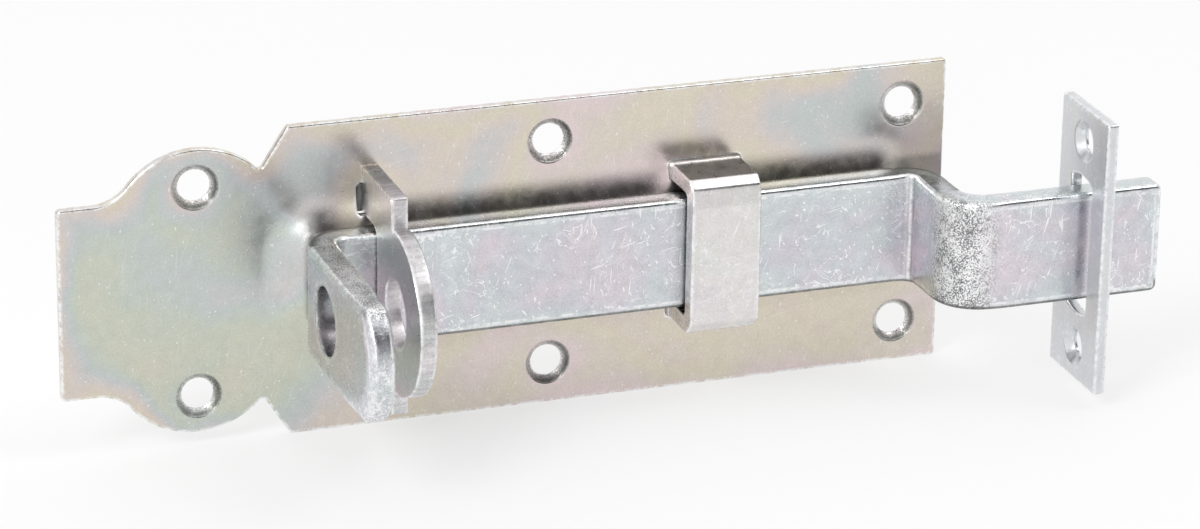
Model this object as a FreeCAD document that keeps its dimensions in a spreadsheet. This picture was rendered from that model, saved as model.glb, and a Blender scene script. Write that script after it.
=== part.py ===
"""Cranked padlock bolt with its striker: a flat bar, bent up at one end into a handle and cranked
outwards at the other, slides along a pressed back plate.

Lengths are millimetres. X runs the way the bolt is thrown, -Y points out of the door towards the
hand, and Z is up. The origin is on the back of the plate, at the middle of its four right-hand
screw holes. In the sheet, places along X are counted from the plate's left end, and depths are
counted outwards from the plate's front face.
"""
import FreeCAD, Part
import math
import os
import Sketcher

DOCUMENT = FreeCAD.newDocument("Padbolt")

DRIVING_SIZES = [
    ("plate_length", 160.0, "back plate, left end to right end"),
    ("plate_width", 56.0, "back plate, across its wide part"),
    ("plate_thick", 1.5, "sheet of the back plate"),
    ("tab_width", 34.4, "narrow left end of the plate"),
    ("tab_corner", 0.8, "rounding of the tab's corners"),
    ("lobe_place", 23.8, "middle of the two lobes and of their screw holes"),
    ("lobe_radius", 15.2, "outer curve of a lobe"),
    ("lobe_half", 25.6, "top of a lobe above the middle line"),
    ("ogee_radius", 7.8, "hollow curve from the tab into a lobe"),
    ("notch_place", 35.1, "bottom of the V notches between lobes and wide part"),
    ("notch_round", 0.8, "rounding in the bottom of a V notch"),
    ("wide_start", 39.9, "left corners of the wide part"),
    ("screw_hole", 5.6, "screw holes of the back plate"),
    ("screw_sink", 8.0, "mouth of their countersinks"),
    ("sink_angle", 90.0, "countersinks, whole angle in degrees"),
    ("lobe_row", 37.8, "across the two holes in the lobes"),
    ("wide_row", 41.0, "across each pair of holes in the wide part"),
    ("middle_holes", 86.5, "middle pair of screw holes"),
    ("end_margin", 8.2, "right pair of screw holes, before the plate's right end"),
    ("runway_left", 36.8, "foot of the pressed runway, left end"),
    ("runway_margin", 13.0, "foot of the pressed runway, before the plate's right end"),
    ("runway_width", 30.0, "across the runway's feet"),
    ("runway_rise", 2.2, "height of the pressing"),
    ("runway_slope", 45.0, "slope of its flanks in degrees"),
    ("runway_corner", 5.5, "rounding of its corners in plan"),
    ("runway_bend", 0.8, "inside of its bends"),
    ("bar_width", 20.0, "flat bar of the bolt"),
    ("bar_thick", 5.0, "flat bar of the bolt"),
    ("bar_edge", 0.9, "rounding of the bar's rolled edges"),
    ("slide_gap", 0.5, "running gap behind the bar"),
    ("front_gap", 0.8, "running gap in front of the bar"),
    ("side_gap", 1.2, "running gap above and below the bar"),
    ("handle_place", 40.7, "outer face of the handle"),
    ("handle_reach", 44.8, "tip of the handle before the plate"),
    ("handle_end_radius", 12.5, "curve of the handle's tip"),
    ("handle_bend", 2.0, "inside of the handle's bend"),
    ("handle_hole", 11.7, "padlock hole in the handle"),
    ("handle_corner", 1.6, "rounding of the handle's corners"),
    ("crank_margin", 8.8, "near face of the crank, before the plate's right end"),
    ("crank_offset", 17.4, "step of the crank"),
    ("crank_inner_bend", 1.4, "inside of the crank's first bend"),
    ("crank_outer_bend", 2.8, "inside of the crank's second bend"),
    ("tip_reach", 31.0, "tip of the bolt, beyond the plate's right end"),
    ("tip_corner", 1.2, "rounding of the tip's corners"),
    ("staple_place", 52.9, "near face of the staple"),
    ("staple_thick", 3.0, "plate of the staple"),
    ("shoulder_height", 39.2, "across the staple's shoulders"),
    ("shoulder_reach", 16.8, "depth of the shoulders"),
    ("eye_reach", 19.0, "centre of the staple's round nose"),
    ("eye_radius", 14.3, "round nose of the staple"),
    ("lock_reach", 19.0, "padlock axis before the plate"),
    ("eye_hole", 11.9, "padlock hole in the staple"),
    ("window_round", 2.4, "front corners of the staple's window"),
    ("staple_tenon", 5.0, "height of a staple tenon"),
    ("staple_slot_gap", 1.1, "slack of a staple tenon in its slot"),
    ("loop_place", 108.5, "near side of the guide loop"),
    ("loop_width", 12.8, "strap of the guide loop"),
    ("strap_thick", 3.0, "strap of the guide loop"),
    ("upper_facet", 1.4, "depth and height of the upper bend's first facet"),
    ("lower_facet", 3.5, "height of its second facet"),
    ("lower_facet_depth", 0.6, "depth of its second facet"),
    ("loop_bevel", 2.2, "bevel of the lower bend"),
    ("loop_inner_round", 1.0, "inside corners of the loop"),
    ("loop_slot_gap", 0.3, "slack of the loop's legs in their slots"),
    ("slot_corner", 0.9, "corners of the slots for staple and loop"),
    ("peen_thick", 0.7, "how far the riveting swells a tenon or leg, into the sheet"),
    ("striker_distance", 16.1, "near face of the striker, beyond the plate's right end"),
    ("striker_height", 50.0, "striker plate"),
    ("striker_width", 18.6, "striker plate"),
    ("striker_thick", 2.0, "striker plate"),
    ("striker_front_gap", 2.4, "slot of the striker, before the bar"),
    ("striker_back_gap", 0.6, "slot of the striker, behind the bar"),
    ("striker_end_gap", 2.6, "slot of the striker, above and below the bar"),
    ("striker_arch", 0.9, "rise of the slot's curved ends"),
    ("striker_screw", 4.6, "screw holes of the striker plate"),
    ("striker_sink", 7.2, "mouth of their countersinks"),
    ("striker_row", 38.0, "across the striker's two holes"),
]

# Places that follow from the sizes above, as formulas of the sheet. Depths are behind a minus sign
# in the sketches, because the part's front looks along -Y.
END_HOLES = "(Sizes.plate_length - Sizes.end_margin)"
MIDDLE_X = "-(Sizes.middle_holes + %s) / 2" % END_HOLES
LOBE_CENTRE = "(Sizes.lobe_half - Sizes.lobe_radius)"
NOTCH_HALF = (
    "(Sizes.lobe_half - Sizes.lobe_radius"
    " + sqrt(pow(Sizes.lobe_radius; 2) - pow(Sizes.notch_place - Sizes.lobe_place; 2)))"
)
RUNWAY_RIGHT = "(Sizes.plate_length - Sizes.runway_margin)"
CRANK = "(Sizes.plate_length - Sizes.crank_margin)"
BOLT_TIP = "(Sizes.plate_length + Sizes.tip_reach)"
STRIKER = "(Sizes.plate_length + Sizes.striker_distance)"
FRONT = "Sizes.plate_thick"
CREST = "(Sizes.plate_thick + Sizes.runway_rise)"
BAR_BACK = "(%s + Sizes.slide_gap)" % CREST
BAR_FRONT = "(%s + Sizes.bar_thick)" % BAR_BACK
WINDOW_FRONT = "(%s + Sizes.front_gap)" % BAR_FRONT
WINDOW_HALF = "(Sizes.bar_width / 2 + Sizes.side_gap)"
LOCK_AXIS = "(%s + Sizes.lock_reach)" % FRONT
HANDLE_TIP = "(%s + Sizes.handle_reach)" % FRONT

# An edge is picked for rounding when its place agrees with the sheet this closely.
CLOSE = 0.01


def make_sheet():
    """The table of driving sizes: name, value and what it measures."""
    sheet = DOCUMENT.addObject("Spreadsheet::Sheet", "Sizes")
    for row, (alias, value, meaning) in enumerate(DRIVING_SIZES, start=1):
        sheet.set("A%d" % row, alias)
        sheet.set("B%d" % row, str(value))
        sheet.setAlias("B%d" % row, alias)
        sheet.set("C%d" % row, meaning)
    DOCUMENT.recompute()
    return sheet


SHEET = make_sheet()


def size(formula):
    """The present value of a formula of the sheet."""
    return float(SHEET.evalExpression(formula))


def new_body(label):
    """An empty body whose X origin is the plate's left end, moved to the part's origin."""
    body = DOCUMENT.addObject("PartDesign::Body", label)
    body.Label = label
    body.setExpression("Placement.Base.x", MIDDLE_X)
    return body


def new_sketch(body, name, role, height="0"):
    """A sketch on one of the body's origin planes, raised along the plane's normal."""
    sketch = body.newObject("Sketcher::SketchObject", name)
    plane = next(item for item in body.Origin.OriginFeatures if item.Role == role)
    sketch.AttachmentSupport = (plane, "")
    sketch.MapMode = "FlatFace"
    sketch.setExpression("AttachmentOffset.Base.z", height)
    return sketch


def pin_point(sketch, geometry, point, across, up):
    """Ties one point of the sketch's geometry to a place given by two formulas."""
    for kind, formula in (("DistanceX", across), ("DistanceY", up)):
        number = sketch.addConstraint(
            Sketcher.Constraint(kind, -1, 1, geometry, point, size(formula))
        )
        sketch.setExpression("Constraints[%d]" % number, formula)


def draw_outline(sketch, corners):
    """A closed outline. A corner is (across, up) or (across, up, radius, turn): the radius and the
    turn (+1 left, -1 right) belong to the arc that leaves this corner for the next one."""
    places = [FreeCAD.Vector(size(corner[0]), size(corner[1]), 0) for corner in corners]
    count = len(corners)
    first = sketch.GeometryCount
    for index, corner in enumerate(corners):
        start = places[index]
        end = places[(index + 1) % count]
        if len(corner) == 4:
            sketch.addGeometry(arc_between(start, end, size(corner[2]), corner[3]), False)
        else:
            sketch.addGeometry(Part.LineSegment(start, end), False)
    for index, corner in enumerate(corners):
        is_right = len(corner) == 4 and corner[3] < 0
        leave = 2 if is_right else 1
        arrive = 1 if is_right else 2
        follower = (index + 1) % count
        next_right = len(corners[follower]) == 4 and corners[follower][3] < 0
        meet = 2 if next_right else 1
        sketch.addConstraint(
            Sketcher.Constraint("Coincident", first + index, arrive, first + follower, meet)
        )
        pin_point(sketch, first + index, leave, corner[0], corner[1])
        if len(corner) == 4:
            number = sketch.addConstraint(
                Sketcher.Constraint("Radius", first + index, size(corner[2]))
            )
            sketch.setExpression("Constraints[%d]" % number, corner[2])


def arc_between(start, end, radius, turn):
    """The short arc of a radius from start to end, turning left (+1) or right (-1)."""
    chord = end - start
    middle = (start + end) / 2
    left = FreeCAD.Vector(-chord.y, chord.x, 0).normalize()
    rise = math.sqrt(max(radius ** 2 - (chord.Length / 2) ** 2, 0))
    crown = middle + left * (turn * (rise - radius))
    if turn > 0:
        return Part.Arc(start, crown, end)
    return Part.Arc(end, crown, start)


def draw_rounded_rectangle(sketch, left, right, bottom, top, radius):
    """A rectangle with rounded corners between four formulas."""
    draw_outline(sketch, [
        ("%s + %s" % (left, radius), bottom),
        ("%s - %s" % (right, radius), bottom, radius, 1),
        (right, "%s + %s" % (bottom, radius)),
        (right, "%s - %s" % (top, radius), radius, 1),
        ("%s - %s" % (right, radius), top),
        ("%s + %s" % (left, radius), top, radius, 1),
        (left, "%s - %s" % (top, radius)),
        (left, "%s + %s" % (bottom, radius), radius, 1),
    ])


def draw_circle(sketch, across, up, diameter):
    """A circle at a place and with a diameter given by formulas."""
    middle = FreeCAD.Vector(size(across), size(up), 0)
    upright = FreeCAD.Vector(0, 0, 1)
    number = sketch.addGeometry(Part.Circle(middle, upright, size(diameter) / 2), False)
    pin_point(sketch, number, 3, across, up)
    datum = sketch.addConstraint(Sketcher.Constraint("Diameter", number, size(diameter)))
    sketch.setExpression("Constraints[%d]" % datum, diameter)


def add_pad(body, sketch, name, length, midplane=False, slope=None):
    """Adds the sketch's outline as a plate of a length."""
    pad = body.newObject("PartDesign::Pad", name)
    pad.Profile = sketch
    pad.Midplane = midplane
    pad.setExpression("Length", length)
    if slope:
        pad.setExpression("TaperAngle", slope)
    DOCUMENT.recompute()
    return pad


def add_pocket(body, sketch, name, length=None, reverse=False, slope=None):
    """Cuts the sketch's outline out of the body, right through unless a length is given."""
    before = body.Shape.Volume
    pocket = body.newObject("PartDesign::Pocket", name)
    pocket.Profile = sketch
    pocket.Reversed = reverse
    if length:
        pocket.setExpression("Length", length)
    else:
        pocket.Type = "ThroughAll"
    if slope:
        pocket.setExpression("TaperAngle", slope)
    DOCUMENT.recompute()
    if not body.Shape.Volume < before:
        raise RuntimeError("%s cuts nothing" % name)
    return pocket


def add_screw_holes(body, sketch, name, hole, sink, reverse=False):
    """Drills and countersinks a screw hole at each circle of the sketch."""
    DOCUMENT.recompute()
    holes = body.newObject("PartDesign::Hole", name)
    holes.Profile = sketch
    holes.Threaded = False
    holes.DepthType = "ThroughAll"
    holes.Reversed = reverse
    holes.HoleCutType = "Countersink"
    holes.HoleCutCustomValues = True
    holes.setExpression("Diameter", hole)
    holes.setExpression("HoleCutDiameter", sink)
    holes.setExpression("HoleCutCountersinkAngle", "Sizes.sink_angle")
    DOCUMENT.recompute()
    return holes


def round_edges(body, name, radius, wanted):
    """Rounds every edge of the body's last feature for which wanted(edge) is true."""
    base = body.Tip
    names = ["Edge%d" % number for number, edge in enumerate(base.Shape.Edges, start=1) if wanted(edge)]
    if not names:
        raise RuntimeError("%s finds no edge" % name)
    rounding = body.newObject("PartDesign::Fillet", name)
    rounding.Base = (base, names)
    rounding.setExpression("Radius", radius)
    DOCUMENT.recompute()
    return rounding


def near(value, target):
    return abs(value - target) < CLOSE


def is_through_sheet(edge, length):
    """True for a straight edge along Y that is as long as the sheet is thick."""
    box = edge.BoundBox
    return near(box.YLength, length) and near(box.XLength, 0) and near(box.ZLength, 0)


def plate_blank(body):
    """The flat blank: wide part, tab and two lobes, with a V notch between lobe and wide part."""
    half = "Sizes.plate_width / 2"
    tab = "Sizes.tab_width / 2"
    outline = new_sketch(body, "PlateOutline", "XZ_Plane")
    draw_outline(outline, [
        ("0", "-" + tab),
        ("Sizes.notch_place", "-" + tab),
        ("Sizes.notch_place", "-" + NOTCH_HALF),
        ("Sizes.wide_start", "-" + half),
        ("Sizes.plate_length", "-" + half),
        ("Sizes.plate_length", half),
        ("Sizes.wide_start", half),
        ("Sizes.notch_place", NOTCH_HALF),
        ("Sizes.notch_place", tab),
        ("0", tab),
    ])
    add_pad(body, outline, "PlatePad", "Sizes.plate_thick")
    for side, sign in (("Upper", ""), ("Lower", "-")):
        lobe = new_sketch(body, side + "LobeCircle", "XZ_Plane")
        draw_circle(lobe, "Sizes.lobe_place", sign + LOBE_CENTRE, "2 * Sizes.lobe_radius")
        add_pad(body, lobe, side + "LobePad", "Sizes.plate_thick")


def round_plate_outline(body):
    """Hollow curves from the tab into the lobes, and the blank's small corner roundings."""
    thick = size("Sizes.plate_thick")
    tab_half = size("Sizes.tab_width / 2")
    lobe_place = size("Sizes.lobe_place")
    notch_place = size("Sizes.notch_place")

    def is_ogee_corner(edge):
        place = edge.CenterOfMass
        on_tab_side = near(abs(place.z), tab_half) and not near(place.x, 0) and place.x < lobe_place
        return is_through_sheet(edge, thick) and on_tab_side

    def is_tab_corner(edge):
        return is_through_sheet(edge, thick) and near(edge.CenterOfMass.x, 0)

    def is_notch(edge):
        return is_through_sheet(edge, thick) and near(edge.CenterOfMass.x, notch_place)

    round_edges(body, "OgeeRounding", "Sizes.ogee_radius", is_ogee_corner)
    round_edges(body, "TabRounding", "Sizes.tab_corner", is_tab_corner)
    round_edges(body, "NotchRounding", "Sizes.notch_round", is_notch)


def press_runway(body):
    """The runway: the sheet is pressed forward, so it is hollow behind and keeps its thickness."""
    raised = new_sketch(body, "RunwayFoot", "XZ_Plane", FRONT)
    half = "Sizes.runway_width / 2"
    draw_rounded_rectangle(
        raised, "Sizes.runway_left", RUNWAY_RIGHT, "-" + half, half, "Sizes.runway_corner"
    )
    add_pad(body, raised, "RunwayPad", "Sizes.runway_rise", slope="-Sizes.runway_slope")
    hollow = new_sketch(body, "HollowFoot", "XZ_Plane")
    inset = "Sizes.plate_thick * tan(Sizes.runway_slope * 0.5 deg)"
    draw_rounded_rectangle(
        hollow,
        "Sizes.runway_left + " + inset,
        "%s - %s" % (RUNWAY_RIGHT, inset),
        "-(%s - %s)" % (half, inset),
        "(%s - %s)" % (half, inset),
        "(Sizes.runway_corner - %s)" % inset,
    )
    add_pocket(
        body, hollow, "RunwayHollow", "Sizes.runway_rise", reverse=True, slope="-Sizes.runway_slope"
    )
    left = size("Sizes.runway_left")
    right = size(RUNWAY_RIGHT)
    reach = size(half)

    def is_loop_at(edge, depth):
        box = edge.BoundBox
        inside = box.XMin > left - CLOSE and box.XMax < right + CLOSE and box.ZMax < reach + CLOSE
        return near(box.YLength, 0) and near(box.YMin, -depth) and inside

    inner = "Sizes.runway_bend"
    outer = "(Sizes.runway_bend + Sizes.plate_thick)"
    for name, depth, radius in (
        ("CrestRounding", CREST, outer),
        ("FootRounding", FRONT, inner),
        ("InnerCrestRounding", "Sizes.runway_rise", inner),
        ("InnerFootRounding", "0", outer),
    ):
        level = size(depth)
        round_edges(body, name, radius, lambda edge: is_loop_at(edge, level))


def cut_tenon_slots(body):
    """Slots for the tenons of the staple and the legs of the guide loop, two each."""
    for side in ("Upper", "Lower"):
        sketch = new_sketch(body, side + "StapleSlot", "XZ_Plane")
        draw_staple_slot(sketch, side)
        add_pocket(body, sketch, side + "StapleSlotCut", reverse=True)
        sketch = new_sketch(body, side + "LoopSlot", "XZ_Plane")
        draw_loop_slot(sketch, side)
        add_pocket(body, sketch, side + "LoopSlotCut", reverse=True)


def draw_mirrored(sketch, side, left, right, near_edge, far_edge, radius):
    """A rounded rectangle above the middle line, or its mirror image below it."""
    if side == "Upper":
        draw_rounded_rectangle(sketch, left, right, near_edge, far_edge, radius)
    else:
        draw_rounded_rectangle(sketch, left, right, "-" + far_edge, "-" + near_edge, radius)


def draw_staple_slot(sketch, side):
    """Outline of a staple slot; the tenon's upset end fills it too."""
    gap = "Sizes.staple_slot_gap"
    draw_mirrored(
        sketch,
        side,
        "Sizes.staple_place - " + gap,
        "Sizes.staple_place + Sizes.staple_thick + " + gap,
        "(%s - Sizes.loop_slot_gap)" % WINDOW_HALF,
        "(%s + Sizes.staple_tenon + Sizes.loop_slot_gap)" % WINDOW_HALF,
        "Sizes.slot_corner",
    )


def draw_loop_slot(sketch, side):
    """Outline of a loop slot; the swollen end of the loop's leg fills it too."""
    gap = "Sizes.loop_slot_gap"
    draw_mirrored(
        sketch,
        side,
        "Sizes.loop_place - " + gap,
        "Sizes.loop_place + Sizes.loop_width + " + gap,
        "(%s - %s)" % (WINDOW_HALF, gap),
        "(%s + Sizes.strap_thick + %s)" % (WINDOW_HALF, gap),
        "Sizes.slot_corner",
    )


def make_base_plate():
    """Back plate, cut and pressed from sheet, with six countersunk screw holes."""
    body = new_body("base_plate")
    plate_blank(body)
    round_plate_outline(body)
    press_runway(body)
    cut_tenon_slots(body)
    centres = new_sketch(body, "ScrewHoles", "XZ_Plane", FRONT)
    for place, row in (
        ("Sizes.lobe_place", "Sizes.lobe_row / 2"),
        ("Sizes.middle_holes", "Sizes.wide_row / 2"),
        (END_HOLES, "Sizes.wide_row / 2"),
    ):
        draw_circle(centres, place, row, "Sizes.screw_hole")
        draw_circle(centres, place, "-" + row, "Sizes.screw_hole")
    add_screw_holes(body, centres, "ScrewHoleDrill", "Sizes.screw_hole", "Sizes.screw_sink")
    return body


def make_bolt():
    """The bolt: one flat bar, bent outwards at the left into the handle and cranked at the right."""
    body = new_body("bolt")
    near_face = "Sizes.handle_place"
    far_face = "(Sizes.handle_place + Sizes.bar_thick)"
    crank_back = "(%s + Sizes.bar_thick)" % CRANK
    tip = HANDLE_TIP
    bend = "Sizes.handle_bend"
    bend_outside = "(Sizes.handle_bend + Sizes.bar_thick)"
    first = "Sizes.crank_inner_bend"
    first_outside = "(Sizes.crank_inner_bend + Sizes.bar_thick)"
    second = "Sizes.crank_outer_bend"
    second_outside = "(Sizes.crank_outer_bend + Sizes.bar_thick)"
    end_back = "(%s + Sizes.crank_offset)" % BAR_BACK
    end_front = "(%s + Sizes.crank_offset)" % BAR_FRONT
    side_view = new_sketch(body, "BarSideView", "XY_Plane")
    draw_outline(side_view, [
        (near_face, "-" + tip),
        (near_face, "-(%s + %s)" % (BAR_BACK, bend_outside), bend_outside, -1),
        ("%s + %s" % (near_face, bend_outside), "-" + BAR_BACK),
        ("%s - %s" % (CRANK, first), "-" + BAR_BACK, first_outside, -1),
        (crank_back, "-(%s + %s)" % (BAR_FRONT, first)),
        (crank_back, "-(%s - %s)" % (end_back, second), second, 1),
        ("%s + %s" % (crank_back, second), "-" + end_back),
        (BOLT_TIP, "-" + end_back),
        (BOLT_TIP, "-" + end_front),
        ("%s + %s" % (crank_back, second), "-" + end_front, second_outside, -1),
        (CRANK, "-(%s - %s)" % (end_back, second)),
        (CRANK, "-(%s + %s)" % (BAR_FRONT, first), first, 1),
        ("%s - %s" % (CRANK, first), "-" + BAR_FRONT),
        ("%s + %s" % (far_face, bend), "-" + BAR_FRONT, bend, 1),
        (far_face, "-(%s + %s)" % (BAR_FRONT, bend)),
        (far_face, "-" + tip),
    ])
    add_pad(body, side_view, "BarPad", "Sizes.bar_width", midplane=True)
    shape_handle(body)
    round_bar_edges(body)
    return body


def shape_handle(body):
    """The handle's curved tip and its padlock hole."""
    half = "Sizes.bar_width / 2"
    shoulder = "(%s - Sizes.handle_end_radius + sqrt(pow(Sizes.handle_end_radius; 2) - pow(%s; 2)))" % (
        HANDLE_TIP,
        half,
    )
    beyond = "(%s + Sizes.bar_thick)" % HANDLE_TIP
    tip = new_sketch(body, "HandleTip", "YZ_Plane")
    draw_outline(tip, [
        ("-" + shoulder, half, "Sizes.handle_end_radius", 1),
        ("-" + shoulder, "-" + half),
        ("-" + beyond, "-" + half),
        ("-" + beyond, half),
    ])
    add_pocket(body, tip, "HandleTipCut", reverse=True)
    hole = new_sketch(body, "HandleHole", "YZ_Plane", "Sizes.handle_place")
    draw_circle(hole, "-" + LOCK_AXIS, "0", "Sizes.handle_hole")
    add_pocket(body, hole, "HandleHoleCut", "Sizes.bar_thick", reverse=True)


def round_bar_edges(body):
    """Roundings of the handle's corners, the tip's corners and the bar's rolled edges."""
    half = size("Sizes.bar_width / 2")
    handle_right = size("Sizes.handle_place + Sizes.bar_thick")
    bolt_tip = size(BOLT_TIP)
    thick = size("Sizes.bar_thick")

    def is_handle_corner(edge):
        box = edge.BoundBox
        runs_across = near(box.XLength, thick) and near(box.YLength, 0) and near(box.ZLength, 0)
        return runs_across and near(abs(edge.CenterOfMass.z), half) and box.XMax < handle_right + CLOSE

    def is_tip_corner(edge):
        box = edge.BoundBox
        runs_out = near(box.YLength, thick) and near(box.XLength, 0) and near(box.ZLength, 0)
        return runs_out and near(box.XMin, bolt_tip)

    def is_rolled_edge(edge):
        box = edge.BoundBox
        return near(box.ZLength, 0) and near(abs(edge.CenterOfMass.z), half)

    round_edges(body, "HandleCornerRounding", "Sizes.handle_corner", is_handle_corner)
    round_edges(body, "TipCornerRounding", "Sizes.tip_corner", is_tip_corner)
    round_edges(body, "RolledEdgeRounding", "Sizes.bar_edge", is_rolled_edge)


def make_staple():
    """Staple for the padlock: a stamped plate astride the bar, riveted through the back plate."""
    body = new_body("padlock_staple")
    window, front = WINDOW_HALF, WINDOW_FRONT
    tenon_top = "(%s + Sizes.staple_tenon)" % WINDOW_HALF
    shoulder = "Sizes.shoulder_height / 2"
    reach = "(%s + Sizes.shoulder_reach)" % FRONT
    nose_centre = "(%s + Sizes.eye_reach)" % FRONT
    nose = "(%s + Sizes.eye_radius)" % nose_centre
    joint = "sqrt(pow(Sizes.eye_radius; 2) - pow(Sizes.eye_reach - Sizes.shoulder_reach; 2))"
    corner = "Sizes.window_round"
    profile = new_sketch(body, "StapleProfile", "YZ_Plane", "Sizes.staple_place")
    draw_outline(profile, [
        ("0", tenon_top),
        ("-" + FRONT, tenon_top),
        ("-" + FRONT, shoulder),
        ("-" + reach, shoulder),
        ("-" + reach, joint, "Sizes.eye_radius", 1),
        ("-" + nose, "0", "Sizes.eye_radius", 1),
        ("-" + reach, "-" + joint),
        ("-" + reach, "-" + shoulder),
        ("-" + FRONT, "-" + shoulder),
        ("-" + FRONT, "-" + tenon_top),
        ("0", "-" + tenon_top),
        ("0", "-" + window),
        ("-(%s - %s)" % (front, corner), "-" + window, corner, -1),
        ("-" + front, "-(%s - %s)" % (window, corner)),
        ("-" + front, "(%s - %s)" % (window, corner), corner, -1),
        ("-(%s - %s)" % (front, corner), window),
        ("0", window),
    ])
    draw_circle(profile, "-" + LOCK_AXIS, "0", "Sizes.eye_hole")
    add_pad(body, profile, "StaplePad", "Sizes.staple_thick")
    for side in ("Upper", "Lower"):
        upset = new_sketch(body, side + "StapleUpset", "XZ_Plane")
        draw_staple_slot(upset, side)
        add_pad(body, upset, side + "StapleUpsetPad", "Sizes.peen_thick")
    return body


def make_guide_loop():
    """Guide loop: a strap bent over the bar, with a faceted upper bend. Its legs go through slots in
    the pressed runway, and riveting has swollen their ends so that they fill the slots."""
    body = new_body("guide_loop")
    top = "(%s + Sizes.strap_thick)" % WINDOW_HALF
    front = "(%s + Sizes.strap_thick)" % WINDOW_FRONT
    second = "(%s - Sizes.lower_facet_depth)" % front
    first = "(%s - Sizes.upper_facet)" % second
    bevel = "Sizes.loop_bevel"
    corner = "Sizes.loop_inner_round"
    profile = new_sketch(body, "LoopProfile", "YZ_Plane", "Sizes.loop_place")
    draw_outline(profile, [
        ("0", top),
        ("-" + first, top),
        ("-" + second, "(%s - Sizes.upper_facet)" % top),
        ("-" + front, "(%s - Sizes.upper_facet - Sizes.lower_facet)" % top),
        ("-" + front, "-(%s - %s)" % (top, bevel)),
        ("-(%s - %s)" % (front, bevel), "-" + top),
        ("0", "-" + top),
        ("0", "-" + WINDOW_HALF),
        ("-(%s - %s)" % (WINDOW_FRONT, corner), "-" + WINDOW_HALF, corner, -1),
        ("-" + WINDOW_FRONT, "-(%s - %s)" % (WINDOW_HALF, corner)),
        ("-" + WINDOW_FRONT, "(%s - %s)" % (WINDOW_HALF, corner), corner, -1),
        ("-(%s - %s)" % (WINDOW_FRONT, corner), WINDOW_HALF),
        ("0", WINDOW_HALF),
    ])
    add_pad(body, profile, "LoopPad", "Sizes.loop_width")
    for side in ("Upper", "Lower"):
        swollen = new_sketch(body, side + "LegEnd", "XZ_Plane")
        draw_loop_slot(swollen, side)
        add_pad(body, swollen, side + "LegEndPad", "Sizes.runway_rise + Sizes.peen_thick")
    return body


def make_striker_plate():
    """Striker: a small plate across the bolt's path, with a slot and two countersunk holes."""
    body = new_body("striker_plate")
    bar_front = "(%s + Sizes.crank_offset)" % BAR_FRONT
    slot_front = "(%s + Sizes.striker_front_gap)" % bar_front
    slot_back = "(%s - Sizes.bar_thick - Sizes.striker_back_gap)" % bar_front
    slot_middle = "((%s + %s) / 2)" % (slot_front, slot_back)
    slot_width = "(%s - %s)" % (slot_front, slot_back)
    half = "Sizes.striker_height / 2"
    blank = new_sketch(body, "StrikerOutline", "YZ_Plane", STRIKER)
    draw_outline(blank, [
        ("-(%s + Sizes.striker_width / 2)" % slot_middle, "-" + half),
        ("-(%s - Sizes.striker_width / 2)" % slot_middle, "-" + half),
        ("-(%s - Sizes.striker_width / 2)" % slot_middle, half),
        ("-(%s + Sizes.striker_width / 2)" % slot_middle, half),
    ])
    add_pad(body, blank, "StrikerPad", "Sizes.striker_thick")
    slot_half = "(Sizes.bar_width / 2 + Sizes.striker_end_gap - Sizes.striker_arch)"
    arch_radius = "((pow(%s / 2; 2) + pow(Sizes.striker_arch; 2)) / (2 * Sizes.striker_arch))" % slot_width
    slot = new_sketch(body, "StrikerSlot", "YZ_Plane", STRIKER)
    draw_outline(slot, [
        ("-" + slot_front, "-" + slot_half, arch_radius, 1),
        ("-" + slot_back, "-" + slot_half),
        ("-" + slot_back, slot_half, arch_radius, 1),
        ("-" + slot_front, slot_half),
    ])
    add_pocket(body, slot, "StrikerSlotCut", reverse=True)
    centres = new_sketch(body, "StrikerHoles", "YZ_Plane", STRIKER)
    for sign in ("", "-"):
        draw_circle(centres, "-" + slot_middle, sign + "Sizes.striker_row / 2", "Sizes.striker_screw")
    add_screw_holes(
        body, centres, "StrikerHoleDrill", "Sizes.striker_screw", "Sizes.striker_sink", reverse=True
    )
    return body


def write_parts(bodies):
    """Checks the document and writes each body to its own file."""
    DOCUMENT.recompute()
    for item in DOCUMENT.Objects:
        if "Invalid" in item.State or "Error" in item.State:
            raise RuntimeError("%s failed: %s" % (item.Name, item.State))
    os.makedirs("parts", exist_ok=True)
    for body in bodies:
        shape = body.Shape
        if shape.isNull() or not shape.isValid():
            raise RuntimeError("%s has no valid shape" % body.Label)
        shape.exportStep("parts/%s.step" % body.Label)
        print("%-16s %2d solid(s) %9.1f mm3" % (body.Label, len(shape.Solids), shape.Volume))


write_parts([
    make_base_plate(),
    make_bolt(),
    make_staple(),
    make_guide_loop(),
    make_striker_plate(),
])
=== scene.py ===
import bpy
import bmesh
import math
import numpy as np
from mathutils import Matrix, Vector
from mathutils.geometry import delaunay_2d_cdt


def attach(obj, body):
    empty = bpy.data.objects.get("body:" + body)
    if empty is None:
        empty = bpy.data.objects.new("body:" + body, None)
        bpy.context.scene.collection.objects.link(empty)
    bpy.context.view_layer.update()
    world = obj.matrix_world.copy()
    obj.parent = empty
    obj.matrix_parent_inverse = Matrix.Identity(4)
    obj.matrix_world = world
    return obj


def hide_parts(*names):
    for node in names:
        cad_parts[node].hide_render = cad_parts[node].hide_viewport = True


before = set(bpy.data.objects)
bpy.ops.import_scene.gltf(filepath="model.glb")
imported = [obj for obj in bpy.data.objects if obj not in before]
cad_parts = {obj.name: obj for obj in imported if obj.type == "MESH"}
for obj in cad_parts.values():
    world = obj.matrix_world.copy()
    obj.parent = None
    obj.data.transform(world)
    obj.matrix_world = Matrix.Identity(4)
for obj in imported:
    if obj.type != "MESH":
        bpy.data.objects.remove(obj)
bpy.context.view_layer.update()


# ---- Studio -------------------------------------------------------------------------------------
# A white table and a white surround, one large soft lamp high on the left, and two weak ones. The
# bolt stands on the lower edge of its back plate, and the camera looks down on it from the left.
scene = bpy.context.scene
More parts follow.
